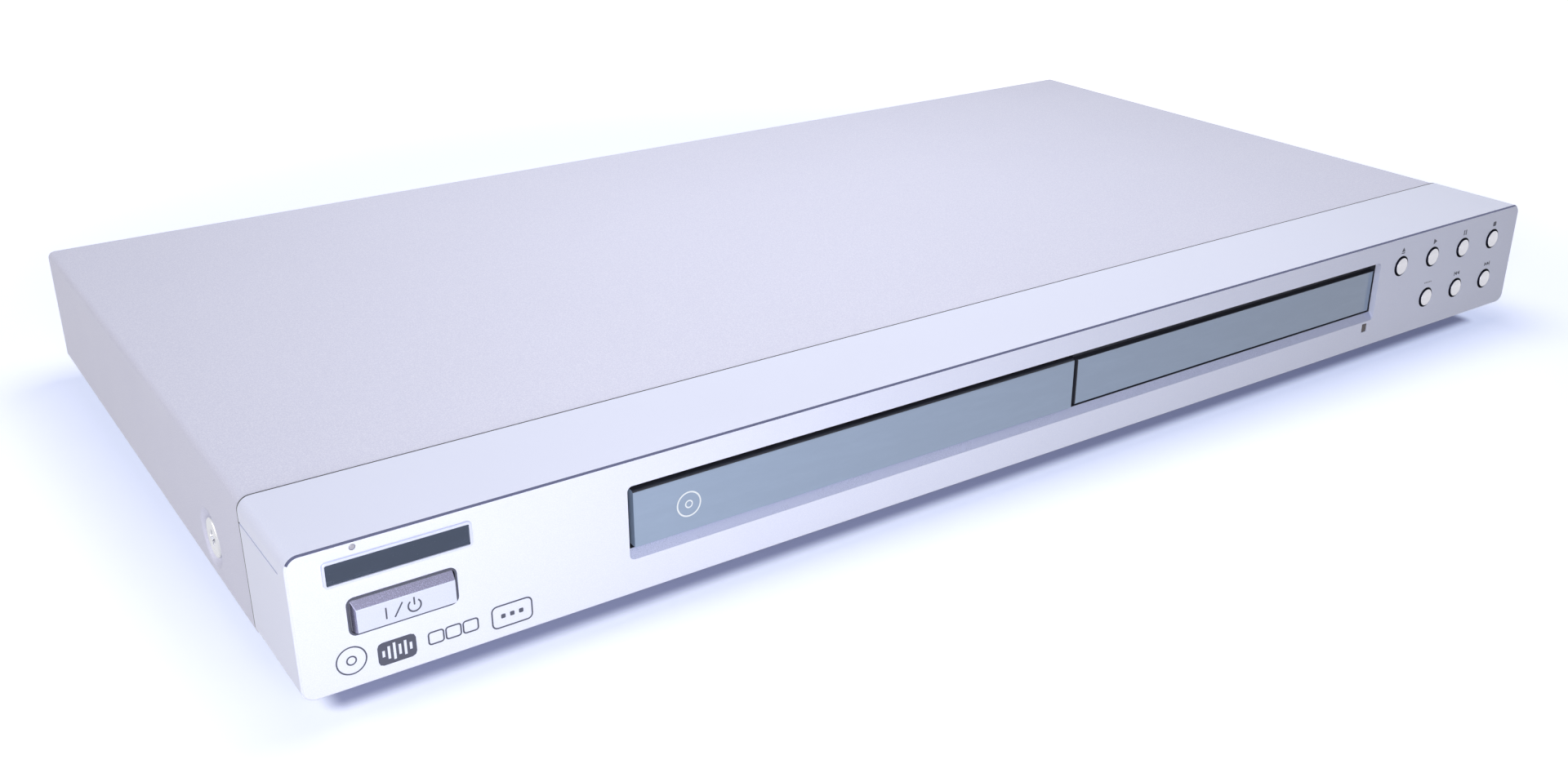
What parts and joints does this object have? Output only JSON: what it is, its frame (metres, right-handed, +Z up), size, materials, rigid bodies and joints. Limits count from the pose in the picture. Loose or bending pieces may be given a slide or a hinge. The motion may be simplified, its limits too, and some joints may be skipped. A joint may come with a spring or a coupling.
{
  "type": "disc player with tray",
  "caption": "Slim home disc player: folded steel cover, moulded front panel with a motorised disc tray, display window, round buttons and a rear panel of sockets.",
  "frame": {"origin": "middle of the base, on the surface that the feet stand on, under the centre of the box", "axes": "+X to the right seen from the front, +Y to the back, +Z up"},
  "size_m": [0.43, 0.2412, 0.043],
  "materials": {
    "silver_panel": "fine satin silver paint on moulded plastic",
    "cover_steel": "lavender silver powder paint",
    "zinc_steel": "zinc plated sheet",
    "screw_steel": "bright nickel plate",
    "black_screw": "black oxide",
    "smoked_glass": "glossy smoked acrylic",
    "button_silver": "bright silver paint",
    "power_silver": "satin silver paint",
    "slate_plate": "dark slate lacquer",
    "clear_guide": "clear acrylic",
    "dark_filter": "dark infrared filter",
    "black_plastic": "fine moulded grain",
    "grey_plastic": "moulded, satin",
    "tray_plastic": "moulded, satin with spark grain in the wells",
    "white_plastic": "acetal, satin",
    "rubber": "matt",
    "board_green": "solder mask",
    "board_tan": "paper laminate",
    "chip_black": "epoxy",
    "display_glass": "glass display",
    "aluminium": "plain",
    "steel_part": "polished",
    "brass_part": "turned",
    "lens_glass": "polished",
    "tape_yellow": "coated tape",
    "ribbon_white": "flat cable",
    "nickel": "bright nickel plate"
  },
  "bodies": {
    "case": {"front_panel": "silver_panel", "display_window": "smoked_glass", "nameplate": "slate_plate", "standby_light": "clear_guide", "remote_eye": "dark_filter", "front_board": "board_tan", "display_module": "display_glass", "tact_switches": "chip_black", "remote_receiver": "chip_black", "switch_board": "board_tan", "power_switch": "black_plastic", "front_ribbon": "ribbon_white", "top_cover": "cover_steel", "cover_side_screws": "screw_steel", "cover_rear_screws": "black_screw", "base_pan": "zinc_steel", "rear_panel": "zinc_steel", "rear_panel_screws": "black_screw", "feet": "black_plastic", "foot_screws": "screw_steel", "loader_frame": "black_plastic", "loader_screws": "screw_steel", "drive_belt": "rubber", "loading_motor": "steel_part", "traverse_dampers": "rubber", "clamper_bridge": "zinc_steel", "main_board": "board_green", "main_board_chips": "chip_black", "power_board": "board_tan", "transformer": "tape_yellow", "power_capacitors": "black_plastic", "heat_sink": "aluminium", "jack_blocks": "black_plastic", "jack_barrels": "nickel", "s_video_socket": "black_plastic", "mains_inlet": "black_plastic", "mains_pins": "nickel"},
    "tray": {"disc_tray": "tray_plastic", "tray_door": "smoked_glass"},
    "drive_gear_body": {"tray_drive_gear": "white_plastic"},
    "pulley_gear_body": {"pulley_gear": "white_plastic"},
    "motor_pulley_body": {"motor_pulley": "brass_part"},
    "cam_body": {"slide_cam": "white_plastic"},
    "traverse": {"traverse_base": "zinc_steel", "spindle_motor": "steel_part", "guide_rods": "steel_part", "sled_motor": "steel_part"},
    "turntable_body": {"turntable": "steel_part"},
    "sled_body": {"pickup_sled": "aluminium"},
    "lens_body": {"objective_lens": "lens_glass"},
    "screw_body": {"lead_screw": "steel_part"},
    "clamper_body": {"clamper": "black_plastic"},
    "power_button_body": {"power_button": "power_silver"},
    "open_close_button_body": {"open_close_button": "button_silver"},
    "play_button_body": {"play_button": "button_silver"},
    "pause_button_body": {"pause_button": "button_silver"},
    "stop_button_body": {"stop_button": "button_silver"},
    "mode_button_body": {"mode_button": "button_silver"},
    "previous_button_body": {"previous_button": "button_silver"},
    "next_button_body": {"next_button": "button_silver"}
  },
  "joints": [
    {"name": "tray_slide", "type": "slide", "parent": "case", "child": "tray", "axis": [0, -1, 0], "range_m": [0, 0.135]},
    {"name": "drive_gear_spin", "type": "hinge", "parent": "case", "child": "drive_gear_body", "pos_m": [-0.1074, -0.0949, 0.0132], "axis": [0, 0, 1], "range_deg": [-5, 649.6]},
    {"name": "pulley_gear_spin", "type": "hinge", "parent": "case", "child": "pulley_gear_body", "pos_m": [-0.0888, -0.0949, 0.0132], "axis": [0, 0, 1], "range_deg": [-2215, 5]},
    {"name": "motor_pulley_spin", "type": "hinge", "parent": "case", "child": "motor_pulley_body", "pos_m": [-0.046, -0.0949, 0.0167], "axis": [0, 0, 1], "range_deg": [-7518.9, 5]},
    {"name": "traverse_tilt", "type": "hinge", "parent": "case", "child": "traverse", "pos_m": [-0.065, 0.0386, 0.0165], "axis": [1, 0, 0], "range_deg": [0, 3]},
    {"name": "cam_slide", "type": "slide", "parent": "case", "child": "cam_body", "axis": [1, 0, 0], "range_m": [0, 0.0201]},
    {"name": "turntable_spin", "type": "hinge", "parent": "traverse", "child": "turntable_body", "pos_m": [-0.065, -0.0494, 0.0283], "axis": [0, 0, 1], "continuous": true},
    {"name": "clamper_spin", "type": "hinge", "parent": "case", "child": "clamper_body", "pos_m": [-0.065, -0.0494, 0.0298], "axis": [0, 0, 1], "continuous": true},
    {"name": "sled_slide", "type": "slide", "parent": "traverse", "child": "sled_body", "axis": [0, 1, 0], "range_m": [0, 0.034]},
    {"name": "lead_screw_spin", "type": "hinge", "parent": "traverse", "child": "screw_body", "pos_m": [-0.034, -0.0379, 0.0183], "axis": [0, 1, 0], "range_deg": [-4085, 5]},
    {"name": "lens_focus", "type": "slide", "parent": "sled_body", "child": "lens_body", "axis": [0, 0, 1], "range_m": [-0.0004, 0.0004], "stiffness_N_per_m": 100},
    {"name": "power_button_press", "type": "slide", "parent": "case", "child": "power_button_body", "axis": [0, 1, 0], "range_m": [0, 0.001], "stiffness_N_per_m": 700, "springref_m": -0.0005},
    {"name": "open_close_button_press", "type": "slide", "parent": "case", "child": "open_close_button_body", "axis": [0, 1, 0], "range_m": [0, 0.0006], "stiffness_N_per_m": 600, "springref_m": -0.0005},
    {"name": "play_button_press", "type": "slide", "parent": "case", "child": "play_button_body", "axis": [0, 1, 0], "range_m": [0, 0.0006], "stiffness_N_per_m": 600, "springref_m": -0.0005},
    {"name": "pause_button_press", "type": "slide", "parent": "case", "child": "pause_button_body", "axis": [0, 1, 0], "range_m": [0, 0.0006], "stiffness_N_per_m": 600, "springref_m": -0.0005},
    {"name": "stop_button_press", "type": "slide", "parent": "case", "child": "stop_button_body", "axis": [0, 1, 0], "range_m": [0, 0.0006], "stiffness_N_per_m": 600, "springref_m": -0.0005},
    {"name": "mode_button_press", "type": "slide", "parent": "case", "child": "mode_button_body", "axis": [0, 1, 0], "range_m": [0, 0.0006], "stiffness_N_per_m": 600, "springref_m": -0.0005},
    {"name": "previous_button_press", "type": "slide", "parent": "case", "child": "previous_button_body", "axis": [0, 1, 0], "range_m": [0, 0.0006], "stiffness_N_per_m": 600, "springref_m": -0.0005},
    {"name": "next_button_press", "type": "slide", "parent": "case", "child": "next_button_body", "axis": [0, 1, 0], "range_m": [0, 0.0006], "stiffness_N_per_m": 600, "springref_m": -0.0005}
  ],
  "couplings": [
    {"joint": "drive_gear_spin", "follows": "tray_slide", "rad_per_m": 83.333},
    {"joint": "pulley_gear_spin", "follows": "tray_slide", "rad_per_m": -285.71},
    {"joint": "motor_pulley_spin", "follows": "tray_slide", "rad_per_m": -971.43},
    {"joint": "cam_slide", "follows": "traverse_tilt", "m_per_rad": 0.38197},
    {"joint": "clamper_spin", "follows": "turntable_spin", "ratio": 1},
    {"joint": "lead_screw_spin", "follows": "sled_slide", "rad_per_m": -2094.4}
  ]
}
